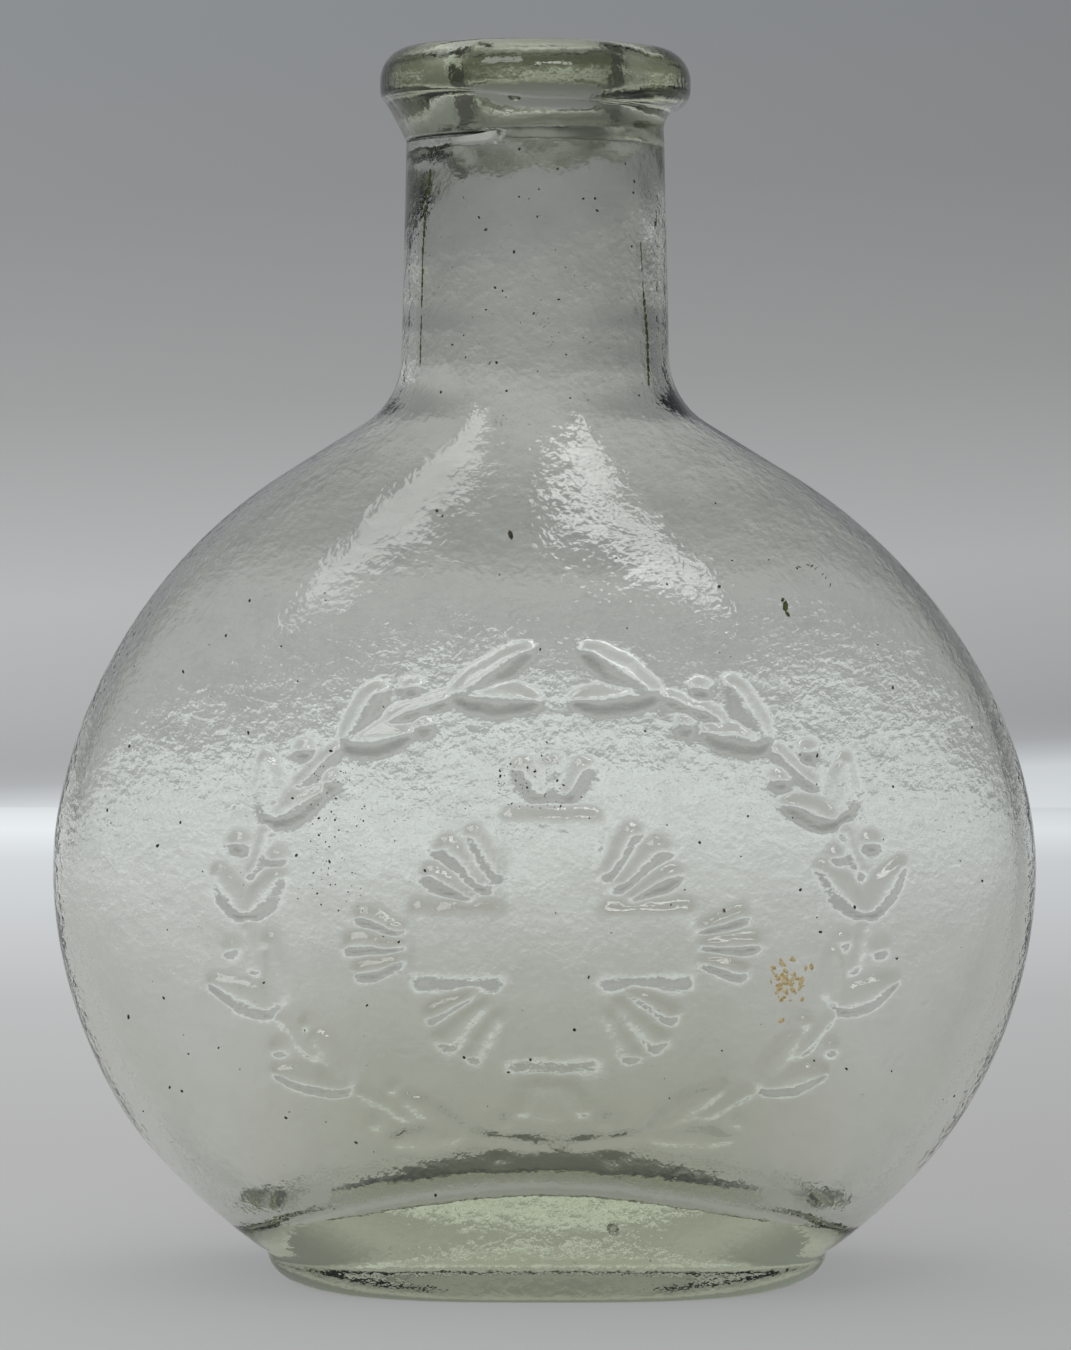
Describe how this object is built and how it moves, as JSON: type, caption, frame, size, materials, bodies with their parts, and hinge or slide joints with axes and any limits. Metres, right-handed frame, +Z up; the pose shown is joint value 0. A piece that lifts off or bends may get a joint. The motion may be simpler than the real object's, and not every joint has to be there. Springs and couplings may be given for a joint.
{
  "type": "bottle",
  "caption": "Small glass schnapps flask, oval body on a low foot, round neck with a tooled lip; a cross with rays inside a leaf wreath is raised on the front.",
  "frame": {"origin": "middle of the foot on the table, under the middle of the bounding box", "axes": "+Z up along the neck, +X to the right as seen from the decorated front, +Y away from the front, so the cross and wreath look towards -Y"},
  "size_m": [0.1094, 0.0449, 0.136],
  "materials": {
    "glass": "clear with a faint green tint, fire-polished, slightly rippled"
  },
  "bodies": {
    "root": {"bottle": "glass"}
  },
  "joints": []
}
